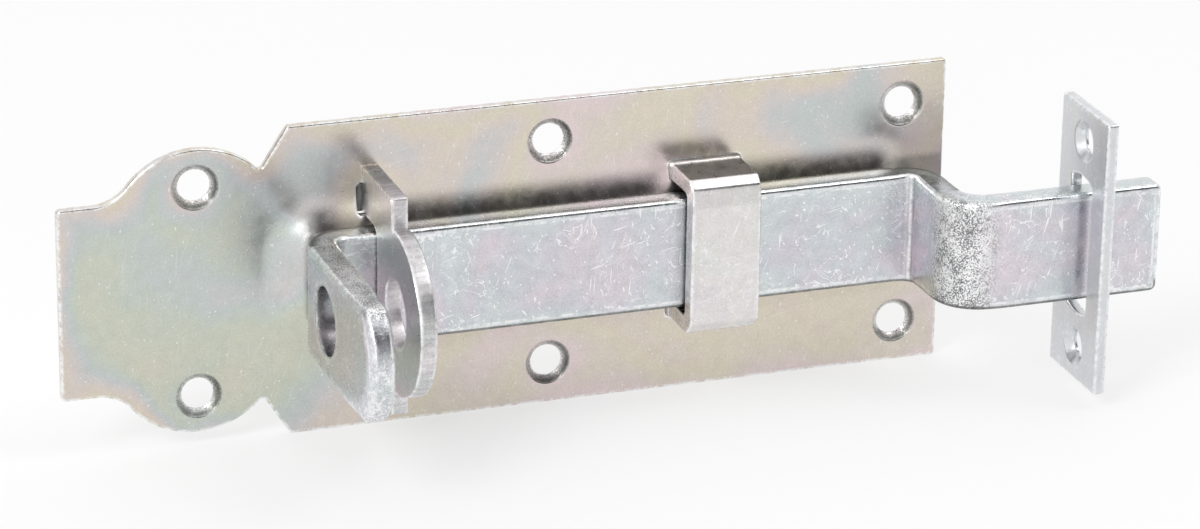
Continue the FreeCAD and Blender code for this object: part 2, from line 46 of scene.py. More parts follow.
scene.view_settings.view_transform = "Standard"

camera_data = bpy.data.cameras.new("camera")
camera_data.sensor_width = 36.0
camera_data.lens = 140.8
camera = bpy.data.objects.new("camera", camera_data)
scene.collection.objects.link(camera)
scene.camera = camera
turn, tilt, roll = math.radians(-19.75), math.radians(21.4), math.radians(0.9)
back = Vector((math.sin(turn) * math.cos(tilt), -math.cos(turn) * math.cos(tilt), math.sin(tilt)))
level = Vector((math.cos(turn), math.sin(turn), 0.0))
upright = back.cross(level)
right = math.cos(roll) * level + math.sin(roll) * upright
above = -math.sin(roll) * level + math.cos(roll) * upright
looked_at = Vector((-0.02324, -0.0015, -0.00333))
camera.matrix_world = Matrix.Translation(looked_at + back * 0.8157) @ Matrix((right, above, back)).transposed().to_4x4()

world = bpy.data.worlds.new("surround")
scene.world = world
world.use_nodes = True
sky = world.node_tree.nodes
wires = world.node_tree.links
sky.clear()
where = sky.new("ShaderNodeTexCoord")
aim = sky.new("ShaderNodeSeparateXYZ")
wires.new(where.outputs["Generated"], aim.inputs[0])


def share_of(axis, low, high):
    """0 below low and 1 above high of one coordinate of the direction, or the other way round."""
    made = sky.new("ShaderNodeMapRange")
    made.interpolation_type = "SMOOTHSTEP"
    wires.new(aim.outputs[axis], made.inputs["Value"])
    made.inputs["From Min"].default_value = min(low, high)
    made.inputs["From Max"].default_value = max(low, high)
    made.inputs["To Min"].default_value = float(low > high)
    made.inputs["To Max"].default_value = float(low < high)
    return made.outputs["Result"]


# Bright all round but for the dark room behind the camera, between the table and the lamp above.
room = share_of("Y", -0.1, -0.6)
for edge_of_room in (share_of("Z", -0.05, 0.36), share_of("Z", 0.90, 0.72), share_of("X", -0.15, 0.2)):
    both = sky.new("ShaderNodeMath")
    both.operation = "MULTIPLY"
    wires.new(room, both.inputs[0])
    wires.new(edge_of_room, both.inputs[1])
    room = both.outputs[0]
shade = sky.new("ShaderNodeMix")
shade.data_type = "RGBA"
wires.new(room, shade.inputs[0])
shade.inputs[7].default_value = (0.03, 0.032, 0.035, 1)

# A grey screen stands behind on the left.
screen = share_of("Y", 0.15, 0.5)
for edge_of_screen in (share_of("Z", 0.02, 0.10), share_of("Z", 0.80, 0.55), share_of("X", -0.42, -0.62)):
    both = sky.new("ShaderNodeMath")
    both.operation = "MULTIPLY"
    wires.new(screen, both.inputs[0])
    wires.new(edge_of_screen, both.inputs[1])
    screen = both.outputs[0]
grey = sky.new("ShaderNodeMix")
grey.data_type = "RGBA"
wires.new(screen, grey.inputs[0])
grey.inputs[6].default_value = (1.0, 1.0, 1.0, 1)
grey.inputs[7].default_value = (0.22, 0.22, 0.23, 1)
wires.new(grey.outputs[2], shade.inputs[6])

# The camera sees plain white, mirrors and glass the surround at the same strength of 1.
ray = sky.new("ShaderNodeLightPath")
seen_colour = sky.new("ShaderNodeMix")
seen_colour.data_type = "RGBA"
wires.new(ray.outputs["Is Camera Ray"], seen_colour.inputs[0])
wires.new(shade.outputs[2], seen_colour.inputs[6])
seen_colour.inputs[7].default_value = (1.0, 1.0, 1.0, 1)
dim = sky.new("ShaderNodeBackground")
dim.inputs["Strength"].default_value = 0.92
wires.new(shade.outputs[2], dim.inputs["Color"])
white = sky.new("ShaderNodeBackground")
white.inputs["Strength"].default_value = 1.0
wires.new(seen_colour.outputs[2], white.inputs["Color"])
is_seen = ray.outputs["Is Camera Ray"]
for kind in ("Is Glossy Ray", "Is Transmission Ray"):
    either = sky.new("ShaderNodeMath")
    either.operation = "MAXIMUM"
    wires.new(is_seen, either.inputs[0])
    wires.new(ray.outputs[kind], either.inputs[1])
    is_seen = either.outputs[0]
choice = sky.new("ShaderNodeMixShader")
wires.new(is_seen, choice.inputs["Fac"])
wires.new(dim.outputs[0], choice.inputs[1])
wires.new(white.outputs[0], choice.inputs[2])
surround = sky.new("ShaderNodeOutputWorld")
wires.new(choice.outputs[0], surround.inputs["Surface"])

table_mesh = bpy.data.meshes.new("table")
table_mesh.from_pydata(
    [(-3, -3, -0.0281), (3, -3, -0.0281), (3, 3, -0.0281), (-3, 3, -0.0281)], [], [(0, 1, 2, 3)]
)
table = bpy.data.objects.new("table", table_mesh)
scene.collection.objects.link(table)
table_paint = bpy.data.materials.new("white_table")
table_paint.use_nodes = True
table_nodes, table_wires = table_paint.node_tree.nodes, table_paint.node_tree.links
table_shader = table_nodes["Principled BSDF"]
table_shader.inputs["Base Color"].default_value = (0.9, 0.9, 0.9, 1)
table_shader.inputs["Roughness"].default_value = 0.8
lit_from_below = table_nodes.new("ShaderNodeEmission")
lit_from_below.inputs["Color"].default_value = (1, 1, 1, 1)
seen = table_nodes.new("ShaderNodeLightPath")
seen_or_mirrored = seen.outputs["Is Camera Ray"]
for kind in ("Is Glossy Ray", "Is Transmission Ray"):
    either = table_nodes.new("ShaderNodeMath")
    either.operation = "MAXIMUM"
    table_wires.new(seen_or_mirrored, either.inputs[0])
    table_wires.new(seen.outputs[kind], either.inputs[1])
    seen_or_mirrored = either.outputs[0]
share = table_nodes.new("ShaderNodeMath")
share.operation = "MULTIPLY"
table_wires.new(seen_or_mirrored, share.inputs[0])
share.inputs[1].default_value = 0.6
table_mix = table_nodes.new("ShaderNodeMixShader")
table_wires.new(share.outputs[0], table_mix.inputs["Fac"])
table_wires.new(table_shader.outputs[0], table_mix.inputs[1])
table_wires.new(lit_from_below.outputs[0], table_mix.inputs[2])
table_wires.new(table_mix.outputs[0], table_nodes["Material Output"].inputs["Surface"])
table_mesh.materials.append(table_paint)

for name, place, width, watts in (
    ("high_left", (-0.95, -0.7, 0.95), 0.5, 7.0),
    ("high_right", (0.7, -0.5, 1.3), 0.6, 3.0),
    ("front_left", (-0.36, -1.43, 0.28), 0.3, 0.6),
):
    lamp_data = bpy.data.lights.new(name, "AREA")
    lamp_data.shape = "SQUARE"
    lamp_data.size = width
    lamp_data.energy = watts
    lamp = bpy.data.objects.new(name, lamp_data)
    lamp.location = place
    lamp.rotation_mode = "QUATERNION"
    lamp.rotation_quaternion = (-Vector(place)).to_track_quat("-Z", "Y")
    scene.collection.objects.link(lamp)


# ---- Back plate ---------------------------------------------------------------------------------
# Sheet steel 1.5 mm thick, blanked to its outline, pressed forward into a flat runway for the bar,
# pierced, countersunk, and plated with bright zinc whose passivation shimmers beige, pink and blue.

def arc(centre_a, centre_b, radius, first, last, step=0.45):
    """Points of an arc: the centre plus radius times (cos, sin) of angles from first to last."""
    count = max(3, int(abs(math.radians(last - first)) * radius / step) + 2)
    angle = np.radians(np.linspace(first, last, count))
    return np.stack([centre_a + radius * np.cos(angle), centre_b + radius * np.sin(angle)], 1)


def outline(corners, step=0.6):
    """A closed outline. A corner is (a, b) or (a, b, radius); its rounding touches both sides at
    radius / tan(half the angle between them), and sides longer than the step are divided."""
    places = np.array([corner[:2] for corner in corners], float)
    turned = []
    for place, before, after, corner in zip(
        places, np.roll(places, 1, 0), np.roll(places, -1, 0), corners
    ):
        if len(corner) < 3:
            turned.append(place[None])
            continue
        one, two = before - place, after - place
        one, two = one / np.hypot(*one), two / np.hypot(*two)
        half = math.acos(np.clip(one @ two, -1, 1)) / 2
        radius = corner[2]
        middle = place + (one + two) / np.hypot(*(one + two)) * radius / math.sin(half)
        start, end = place + one * radius / math.tan(half), place + two * radius / math.tan(half)
        a0, a1 = (math.atan2(*(point - middle)[::-1]) for point in (start, end))
        sweep = (a1 - a0 + math.pi) % (2 * math.pi) - math.pi
        count = max(4, int(abs(sweep) * radius / 0.3) + 2)
        angle = a0 + sweep * np.linspace(0, 1, count)
        turned.append(middle + radius * np.stack([np.cos(angle), np.sin(angle)], 1))
    points = np.vstack(turned)
    run = np.roll(points, -1, 0) - points
    pieces = np.maximum(1, np.ceil(np.hypot(run[:, 0], run[:, 1]) / step).astype(int))
    owner = np.repeat(np.arange(len(points)), pieces)
    part = np.arange(len(owner)) - np.repeat(np.cumsum(pieces) - pieces, pieces)
    return points[owner] + run[owner] * (part / pieces[owner])[:, None]


def winding(loop):
    """Twice the signed area: positive where the loop runs counterclockwise."""
    after = np.roll(loop, -1, 0)
    return float((loop[:, 0] * after[:, 1] - after[:, 0] * loop[:, 1]).sum())


def moved_in(loop, distance, hole=False):
    """The loop moved into the metal: each point goes along the mean of its two sides' normals."""
    before, after = loop - np.roll(loop, 1, 0), np.roll(loop, -1, 0) - loop
    normals = [np.stack([-side[:, 1], side[:, 0]], 1) / np.hypot(*side.T)[:, None] for side in (before, after)]
    mean = normals[0] + normals[1]
    mean = mean / np.maximum((mean * normals[0]).sum(1), 0.5)[:, None]
    sign = math.copysign(1, winding(loop)) * (-1 if hole else 1)
    return loop + sign * distance * mean


def is_inside(points, loops):
    """Even-odd rule: a point is inside where a ray to the right crosses the loops an odd number
    of times."""
    crossings = np.zeros(len(points), int)
    for loop in loops:
        a0, b0 = loop.T
        a1, b1 = np.roll(loop, -1, 0).T
        for part in np.array_split(np.arange(len(points)), 1 + len(points) * len(loop) // 4000000):
            a, b = points[part, :1], points[part, 1:]
            spans = (b0 > b) != (b1 > b)
            rise = np.where(b1 == b0, 1e-9, b1 - b0)
            crossings[part] += (spans & (a < a0 + (b - b0) * (a1 - a0) / rise)).sum(1)
    return crossings % 2 == 1


def edge_distance(points, loops):
    """Distance from each point to the nearest point of the loops."""
    nearest = np.full(len(points), np.inf)
    for loop in loops:
        for part in np.array_split(np.arange(len(points)), 1 + len(points) * len(loop) // 4000000):
            gap = points[part, None, :] - loop[None]
            nearest[part] = np.minimum(nearest[part], np.sqrt((gap ** 2).sum(2)).min(1))
    return nearest


def flat_part(name, thick, edges, lines_a, lines_b):
    """A flat part of a thickness, as a closed mesh in (a, b, c) with c through the thickness.
    edges: (loop, is_hole, profile) for the outline and each hole; a profile's rows are (distance
    into the metal, depth c) from the front face round to the back face, carried along the loop.
    Between the loops both faces are Delaunay triangles over the grid of lines_a and lines_b, with
    every other line pushed sideways, so that the triangles form one even pattern."""
    fronts = [moved_in(loop, profile[0][0], hole) for loop, hole, profile in edges]
    backs = [moved_in(loop, profile[-1][0], hole) for loop, hole, profile in edges]
    grid = np.stack(np.meshgrid(lines_a, lines_b, indexing="ij"), -1)
    grid[:, ::2, 0] += 0.22
    grid = grid.reshape(-1, 2)
    all_points, all_faces, base = [], [], 0
    for loops, depth in ((fronts, thick), (backs, 0.0)):
        kept = grid[is_inside(grid, loops)]
        kept = kept[edge_distance(kept, loops) > 0.35]
        ends = np.cumsum([len(loop) for loop in loops])
        ring = [np.stack([np.arange(len(loop)), np.roll(np.arange(len(loop)), -1)], 1) + end - len(loop)
                for loop, end in zip(loops, ends)]
        given = np.vstack(loops + [kept])
        found = delaunay_2d_cdt(
            [Vector(point) for point in given.tolist()], np.vstack(ring).tolist(), [], 0, 1e-7
        )
        points = np.array([tuple(point) for point in found[0]])
        faces = np.array([face for face in found[2] if len(face) == 3])
        middle = points[faces].mean(1)
        faces = faces[is_inside(middle, loops)]
        all_points.append(np.column_stack([points, np.full(len(points), depth)]))
        all_faces += (faces + base).tolist()
        base += len(points)
    for loop, hole, profile in edges:
        rows = [np.column_stack([moved_in(loop, inward, hole), np.full(len(loop), depth)])
                for inward, depth in profile]
        count = len(loop)
        number = base + np.arange(len(rows) * count).reshape(len(rows), count)
        onward = np.roll(number, -1, 1)
        quads = np.stack([number[:-1], onward[:-1], onward[1:], number[1:]], -1).reshape(-1, 4)
        all_points += rows
        all_faces += quads.tolist()
        base += len(rows) * count
    mesh = bpy.data.meshes.new(name)
    mesh.from_pydata(np.vstack(all_points).tolist(), [], all_faces)
    shell = bmesh.new()
    shell.from_mesh(mesh)
    bmesh.ops.remove_doubles(shell, verts=shell.verts, dist=2e-4)
    bmesh.ops.dissolve_degenerate(shell, edges=shell.edges, dist=1e-5)
    shell.to_mesh(mesh)
    shell.free()
    return mesh


def corners_of(mesh):
    """The mesh's vertices as an array of rows."""
    flat = np.empty(len(mesh.vertices) * 3, np.float32)
    mesh.vertices.foreach_get("co", flat)
    return flat.reshape(-1, 3).astype(float)


def finish_piece(name, mesh, place, body, node, slot, material, **painted):
    """Puts the vertices where they belong (millimetres in, metres out), turns the faces outwards,
    stores the painted values as attributes and dresses the piece."""
    mesh.vertices.foreach_set("co", (place / 1000).astype(np.float32).ravel())
    for key, values in painted.items():
        mesh.attributes.new(key, "FLOAT", "POINT").data.foreach_set("value", values.astype(np.float32))
    shell = bmesh.new()
    shell.from_mesh(mesh)
    bmesh.ops.recalc_face_normals(shell, faces=shell.faces)
    shell.to_mesh(mesh)
    shell.free()
    mesh.polygons.foreach_set("use_smooth", np.ones(len(mesh.polygons), bool))
    mesh.set_sharp_from_angle(angle=math.radians(38))
    mesh.materials.append(material)
    piece = bpy.data.objects.new(name, mesh)
    scene.collection.objects.link(piece)
    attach(piece, body)
    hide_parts(node)
    return piece


def arris_distance(inward, depth, thick, rounding):
    """Distance to the rounded edge between a face and the cut wall, over either of them."""
    down = np.minimum(depth, thick - depth)
    return np.hypot(np.maximum(inward - rounding, 0), np.maximum(down - rounding, 0))


def uneven(points, size, seed):
    """A smooth random value from -1 to 1: a sum of sines along fixed random directions, each with
    a wavelength near the given size."""
    draw = np.random.default_rng(seed)
    ways = draw.normal(size=(14, points.shape[1]))
    ways *= (2 * math.pi / size * draw.uniform(0.6, 1.5, 14) / np.linalg.norm(ways, axis=1))[:, None]
    return np.sin(points @ ways.T + draw.uniform(0, 2 * math.pi, 14)).sum(1) / 5.3


def zinc_plating(name, film, shift, cloud=26.0, fringe=0.0, rough=0.3, scuffs=1.0, strokes=1.0, grain=0.05,
                 rub_width=0.45, drawn_along=(1, 1, 10), drift=0.0, scrape=0.0):
    """Bright zinc. The passivation's film colour follows soft clouds and creeps along the edges;
    over it lie grain, white specks, strokes and hair scratches, and the edges are rubbed bright.
    Painted values in mm: from_edge to the outline, from_arris to the rounded edge. Painted from 0
    to 1: bent where the metal was bent, peened where it is rough like orange peel, and painted
    shade, a dark colour painted in where shade and shadow fall."""
    material = bpy.data.materials.new(name)
    material.use_nodes = True
    tree = material.node_tree
    shader = tree.nodes["Principled BSDF"]
    shader.inputs["Metallic"].default_value = 1.0

    def give(socket, value):
        if isinstance(value, bpy.types.NodeSocket):
            tree.links.new(value, socket)
        else:
            socket.default_value = value

    def number(operation, *values):
        made = tree.nodes.new("ShaderNodeMath")
        made.operation = operation
        for socket, value in zip(made.inputs, values):
            give(socket, value)
        return made.outputs[0]

    def between(value, low, high, start=0.0, end=1.0):
        made = tree.nodes.new("ShaderNodeMapRange")
        for key, level in zip(("Value", "From Min", "From Max", "To Min", "To Max"), (value, low, high, start, end)):
            give(made.inputs[key], level)
        return made.outputs["Result"]

    def blend(factor, first, second):
        made = tree.nodes.new("ShaderNodeMix")
        made.data_type = "RGBA"
        for key, value in ((0, factor), (6, first), (7, second)):
            give(made.inputs[key], (*value, 1) if isinstance(value, tuple) else value)
        return made.outputs[2]

    def painted(key):
        made = tree.nodes.new("ShaderNodeAttribute")
        made.attribute_name = key
        return made.outputs["Fac"]

    def placed(offset, turned=(0, 0, 0), stretch=(1, 1, 1)):
        """Object coordinates moved, turned, and drawn out along the turned axes."""
        made = tree.nodes.new("ShaderNodeMapping")
        made.vector_type = "TEXTURE"
        tree.links.new(object_place, made.inputs["Vector"])
        made.inputs["Location"].default_value = [a + b for a, b in zip(shift, offset)]
        made.inputs["Rotation"].default_value = turned
        made.inputs["Scale"].default_value = stretch
        return made.outputs["Vector"]

    def noise(vector, scale, detail=2.0, roughness=0.5, warp=0.0):
        made = tree.nodes.new("ShaderNodeTexNoise")
        give(made.inputs["Vector"], vector)
        for key, value in (("Scale", scale), ("Detail", detail), ("Roughness", roughness), ("Distortion", warp)):
            made.inputs[key].default_value = value
        return made.outputs["Fac"]

    object_place = tree.nodes.new("ShaderNodeTexCoord").outputs["Object"]
    place = placed((0, 0, 0))
    from_edge, from_arris = painted("from_edge"), painted("from_arris")
    bent, peened, soiled = painted("bent"), painted("peened"), painted("soiled")

    clouds = noise(place, cloud, 2.5, 0.5, 0.9)
    creep = number("MULTIPLY", number("POWER", between(from_edge, 0.0, 7.0, 1.0, 0.0), 2.0), between(noise(place, 48.0), 0.35, 0.6))
    thickness = number("ADD", between(clouds, 0.30, 0.70), number("MULTIPLY", creep, fringe))
    thickness = number("ADD", thickness, between(noise(place, 170.0, 3.0), 0.3, 0.7, -0.04, 0.04))
    along = tree.nodes.new("ShaderNodeSeparateXYZ")
    tree.links.new(object_place, along.inputs[0])
    thickness = number("ADD", thickness, between(along.outputs["X"], -0.11, 0.04, -drift, drift))
    tints = tree.nodes.new("ShaderNodeValToRGB")
    tints.color_ramp.interpolation = "B_SPLINE"
    tints.color_ramp.elements[0].color = (*film[0][1], 1)
    tints.color_ramp.elements[1].color = (*film[-1][1], 1)
    for position, tint in film[1:-1]:
        tints.color_ramp.elements.new(position).color = (*tint, 1)
    tree.links.new(thickness, tints.inputs["Fac"])
    colour = tints.outputs["Color"]

    fine = noise(place, 2600.0, 3.0, 0.6)
    coarse = noise(place, 420.0, 4.0, 0.6)
    drawn = noise(placed((0.2, 0, 0), stretch=drawn_along), 1100.0, 2.0)
    tone = number("ADD", between(fine, 0.3, 0.7, -grain, grain), between(coarse, 0.3, 0.7, -grain, grain))
    tone = number("ADD", tone, number("MULTIPLY", bent, between(drawn, 0.35, 0.65, -0.16, 0.16)))
    brighter = tree.nodes.new("ShaderNodeHueSaturation")
    tree.links.new(number("ADD", tone, 1.0), brighter.inputs["Value"])
    tree.links.new(colour, brighter.inputs["Color"])
    colour = brighter.outputs["Color"]

    marks = 0.0
    for number_of, turned, scale, high in (
        (0, (0, 0.35, 0), 2300.0, 0.68), (1, (0.3, -0.6, 0.2), 1700.0, 0.69), (2, (0, 1.35, 0), 2300.0, 0.69),
        (3, (0.2, -1.1, 0.4), 1500.0, 0.70), (4, (0, 0.05, 0.3), 1900.0, 0.69),
    ):
        stroke = noise(placed((number_of, 0.3, 0.7), turned, (1, 1, 14)), scale, 1.0, 0.5, 0.3)
        stroke = between(stroke, high, high + 0.035)
        some = between(noise(placed((0, number_of, 0.1)), 70.0, 2.0), 0.50, 0.60, 0.0, strokes)
        marks = number("MAXIMUM", marks, number("MULTIPLY", stroke, some))
    wander = number("ABSOLUTE", number("SUBTRACT", noise(placed((7, 0.3, 0.7)), 190.0, 3.0, 0.6, 1.2), 0.5))
    some = between(noise(placed((0, 7, 0.1)), 90.0, 2.0), 0.55, 0.60, 0.0, strokes)
    marks = number("MAXIMUM", marks, number("MULTIPLY", between(wander, 0.003, 0.010, 1.0, 0.0), some))
    for number_of, stretch, scale, width, kept in (
        (3, (1, 1, 1), 430.0, 0.06, 0.74), (4, (1, 1, 2.5), 480.0, 0.06, 0.78), (5, (1, 1, 1), 1000.0, 0.13, 0.84),
        (6, (1, 1, 2), 900.0, 0.11, 0.88),
    ):
        dots = tree.nodes.new("ShaderNodeTexVoronoi")
        tree.links.new(placed((number_of, 0, 0), (0, 0.15, 0), stretch), dots.inputs["Vector"])
        dots.inputs["Scale"].default_value = scale
        part = tree.nodes.new("ShaderNodeSeparateColor")
        tree.links.new(dots.outputs["Color"], part.inputs["Color"])
        spot = between(dots.outputs["Distance"], width, width * 1.5, 1.0, 0.0)
        spot = number("MULTIPLY", spot, number("GREATER_THAN", part.outputs[0], kept))
        marks = number("MAXIMUM", marks, spot)
    chalk = number("MULTIPLY", between(noise(place, 900.0, 3.0, 0.7), 0.55, 0.62), between(noise(place, 75.0, 2.0), 0.54, 0.60))
    chalk = number("MULTIPLY", chalk, between(from_edge, 0.6, 4.0, 1.0, 0.15))
    marks = number("MAXIMUM", marks, number("MULTIPLY", chalk, strokes))
    scraped = between(number("ABSOLUTE", number("SUBTRACT", from_edge, 1.25)), 0.05, 0.35, scrape, 0.0)
    scraped = number("MULTIPLY", scraped, between(noise(place, 500.0, 3.0, 0.7), 0.42, 0.56))
    marks = number("MULTIPLY", number("MAXIMUM", marks, scraped), scuffs)
    colour = blend(marks, colour, (0.92, 0.92, 0.93))

    broken = between(noise(place, 700.0, 3.0, 0.65), 0.40, 0.56)
    rub = number("MULTIPLY", between(from_arris, 0.05, rub_width, 1.0, 0.0), broken)
    colour = blend(number("MULTIPLY", rub, 0.9), colour, (0.92, 0.93, 0.94))
    pepper = number("ADD", noise(place, 3600.0, 2.0, 0.6), between(noise(place, 300.0), 0.3, 0.7, -0.09, 0.10))
    pepper = number("ADD", pepper, between(noise(place, 1300.0), 0.3, 0.7, -0.03, 0.03))
    pepper = between(pepper, 0.41, 0.55)
    speckled = blend(pepper, (0.15, 0.155, 0.16), (0.98, 0.98, 0.98))
    colour = blend(number("MULTIPLY", peened, 0.85), colour, speckled)
    # Painted shade: the painted shade value darkens the colour towards near black, standing in for shade and shadow.
    colour = blend(number("MULTIPLY", soiled, between(coarse, 0.3, 0.7, 0.75, 1.0)), colour, (0.10, 0.105, 0.095))
    tree.links.new(colour, shader.inputs["Base Color"])

    dull = number("ADD", between(coarse, 0.3, 0.7, rough - 0.05, rough + 0.05), number("MULTIPLY", marks, 0.06))
    dull = number("ADD", dull, number("ADD", number("MULTIPLY", peened, 0.14), number("MULTIPLY", bent, 0.08)))
    tree.links.new(number("SUBTRACT", dull, number("MULTIPLY", rub, 0.06)), shader.inputs["Roughness"])

    relief = number("ADD", number("MULTIPLY", fine, 0.25), number("MULTIPLY", coarse, 0.2))
    relief = number("SUBTRACT", relief, number("MULTIPLY", marks, 0.03))
    relief = number("ADD", relief, number("MULTIPLY", number("MULTIPLY", bent, drawn), 0.8))
    relief = number("ADD", relief, number("MULTIPLY", number("MULTIPLY", peened, pepper), 1.5))
    bump = tree.nodes.new("ShaderNodeBump")
    bump.inputs["Strength"].default_value = 0.4
    bump.inputs["Distance"].default_value = 0.00007
    tree.links.new(relief, bump.inputs["Height"])
    tree.links.new(bump.outputs["Normal"], shader.inputs["Normal"])
    return material


PLATE_LEFT = -119.15
plate_thick, rise = 1.5, 2.2
tab_half, wide_half, plate_end = 17.2, 28.0, 160.0
lobe_a, lobe_b, lobe_r, ogee = 23.8, 10.4, 15.2, 7.8
ogee_a = lobe_a - math.sqrt((lobe_r + ogee) ** 2 - (tab_half + ogee - lobe_b) ** 2)
lean = math.degrees(math.atan2(tab_half + ogee - lobe_b, lobe_a - ogee_a))
notch_a = 35.1
notch_angle = math.degrees(math.acos((notch_a - lobe_a) / lobe_r))
upper = np.vstack([
    arc(ogee_a, tab_half + ogee, ogee, -90, -lean),
    arc(lobe_a, lobe_b, lobe_r, 180 - lean, notch_angle)[1:-3],
])
notch_b = lobe_b + math.sqrt(lobe_r ** 2 - (notch_a - lobe_a) ** 2)
half = [(0, tab_half, 0.8)] + [tuple(point) for point in upper] + [
    (notch_a, notch_b, 0.7), (39.9, wide_half, 0.5), (plate_end, wide_half, 0.5),
]
plate_outline = outline(half + [(corner[0], -corner[1], *corner[2:]) for corner in half[::-1]])

screw_places = [(hole_a, sign * hole_b) for hole_a, hole_b in ((23.8, 18.9), (86.5, 20.5), (151.8, 20.5)) for sign in (1, -1)]


def is_near_screw(points):
    """True where a point is under 4.1 mm from the axis of a screw hole."""
    gap = points[:, None, :] - np.array(screw_places)[None]
    return np.sqrt((gap ** 2).sum(2)).min(1) < 4.1


rolled_edge = [(0.45, 1.5), (0.32, 1.5), (0.20, 1.475), (0.09, 1.40), (0.025, 1.29), (0, 1.15), (0, 0.6), (0.02, 0.06), (0.10, 0), (0.25, 0)]
screw_edge = [(1.62, 1.5), (1.36, 1.5), (1.24, 1.46), (1.15, 1.36), (1.0, 1.215), (0.85, 1.07), (0.6, 0.83), (0.1, 0.36), (0.0, 0.24), (0, 0.08), (0.06, 0), (0.25, 0)]
slot_edge = [(0.35, 1.5), (0.12, 1.5), (0.04, 1.46), (0, 1.36), (0, 0.7), (0, 0.05), (0.05, 0), (0.2, 0)]
edges = [(plate_outline, False, rolled_edge)]
edges += [(arc(*place, 2.8, 0, 360, 0.28)[:-1], True, screw_edge) for place in screw_places]
for sign in (1, -1):
    for left, far, low, high in ((51.8, 57.0, 10.9, 16.5), (108.2, 121.6, 10.9, 14.5)):
        bottom, top = sorted((sign * low, sign * high))
        edges.append((outline([(left, bottom, 0.85), (far, bottom, 0.85), (far, top, 0.85), (left, top, 0.85)], 0.5), True, slot_edge))

flank = np.arange(0, 12.4, 0.55)
lines_a = np.concatenate([np.arange(0.7, 34, 1.1), 34.4 + flank, np.arange(47.6, 146, 1.1), np.arange(146.4, 159.8, 0.55)])
lines_b = np.concatenate([np.arange(0.7, 5.8, 1.1), 6.1 + flank, np.arange(19.2, 28, 1.1)])
lines_b = np.concatenate([-lines_b[::-1], lines_b])
plate_mesh = flat_part("base_plate_pressed", plate_thick, edges, lines_a, lines_b)
flat = corners_of(plate_mesh)

# The pressing: height over the sheet as a function of the distance inside the runway's foot. It
# is steepest beside the bar and flattens slowly outwards; on the back it sets in a little further.
runway_a, runway_b, runway_corner = (35.6 + 156.0) / 2, 0.0, 10.0
half_a, half_b = (156.0 - 35.6) / 2, 15.0
flank_width, steepest = 9.2, 0.62


def flank_height(inside):
    """Height of the pressing: two parabolas in t, the share of the flank's width. They meet, as
    high as they are far, at t = steepest."""
    t = np.clip((inside + 0.9) / flank_width, 0, 1)
    return rise * np.where(t < steepest, t * t / steepest, 1 - (1 - t) ** 2 / (1 - steepest))


def inside_foot(a, b):
    """Distance inside a rectangle with rounded corners: minus the usual rounded-box distance."""
    over_a = np.abs(a - runway_a) - (half_a - runway_corner)
    over_b = np.abs(b - runway_b) - (half_b - runway_corner)
    outside = np.hypot(np.maximum(over_a, 0), np.maximum(over_b, 0)) + np.minimum(np.maximum(over_a, over_b), 0)
    return runway_corner - outside


inside = inside_foot(flat[:, 0], flat[:, 1])
front_height = flank_height(inside)
back_height = flank_height(inside - 0.35)
share = flat[:, 2] / plate_thick
wave = 0.03 * np.sin(flat[:, 0] / 9.0 + 1.0) * np.sin(flat[:, 1] / 7.0)
depth = share * (plate_thick + front_height) + (1 - share) * back_height + share * np.minimum(wave, 0)
place = np.column_stack([flat[:, 0] + PLATE_LEFT, -depth, flat[:, 1]])
away = edge_distance(flat[:, :2], [loop for loop, hole, profile in edges])
reamed = 0.65 * ((away < 1.3) & (flat[:, 2] > 0.3) & (flat[:, 2] < 1.44) & is_near_screw(flat[:, :2])).astype(float)
# Painted shade: a dark band on the plate's front face beside the bar, standing in for the bar's shadow and its dark
# reflection.
shade_beside_bar = 0.55 * np.clip((11.2 - np.abs(flat[:, 1])) / 1.2, 0, 1) * (flat[:, 0] > 43) * (flat[:, 2] > 0.8)
# Painted shade: a dark ring round each countersink's rim, heavier on its lower right.
from_screw = (flat[:, None, :2] - np.array(screw_places)[None])
nearest = np.argmin(np.hypot(*from_screw.transpose(2, 0, 1)), 1)
from_screw = from_screw[np.arange(len(flat)), nearest]
round_screw = np.cos(np.arctan2(from_screw[:, 1], from_screw[:, 0]) + 0.6)
ring = np.exp(-(((np.hypot(*from_screw.T) - 3.62) / 0.42) ** 2)) * (flat[:, 2] > 0.8) * (flat[:, 2] < 1.47)
shade_ring = ring * np.clip(0.8 + 0.55 * round_screw, 0, 1)
plate_film = [
    (0.0, (0.65, 0.63, 0.53)), (0.12, (0.615, 0.62, 0.52)), (0.22, (0.575, 0.615, 0.53)), (0.30, (0.54, 0.595, 0.59)),
    (0.38, (0.62, 0.60, 0.60)), (0.48, (0.70, 0.615, 0.56)), (0.62, (0.695, 0.64, 0.51)), (0.76, (0.685, 0.63, 0.56)),
    (0.86, (0.71, 0.62, 0.59)), (1.0, (0.73, 0.63, 0.63)),
]
plate_zinc = zinc_plating(
    "plate_zinc", plate_film, (0.31, 0.12, 0.24), cloud=15.0, fringe=0.45, rough=0.25, scuffs=0.5,
    strokes=0.3, drift=0.18
)
finish_piece(
    "back_plate", plate_mesh, place, "fixed_parts", "base_plate", "plate_zinc", plate_zinc,
    from_edge=away, from_arris=arris_distance(away, flat[:, 2], plate_thick, 0.2),
    bent=np.zeros(len(flat)), peened=reamed, soiled=np.maximum(shade_beside_bar, shade_ring),
)


# ---- Bolt ---------------------------------------------------------------------------------------
# A flat bar 20 x 5 mm, its handle end cropped to a curve and drilled for the padlock, then bent
# twice more for the crank. The bends are rough like orange peel, and bulge on their inner side.
bar_half, bar_thick = 10.0, 5.0
handle_left, handle_tip = 40.7 + PLATE_LEFT, -46.3
back_of_bar = -4.2
mid = bar_thick / 2
crank_left = 151.2 + PLATE_LEFT
end_back = back_of_bar - 17.4
tip_right = 191.0 + PLATE_LEFT

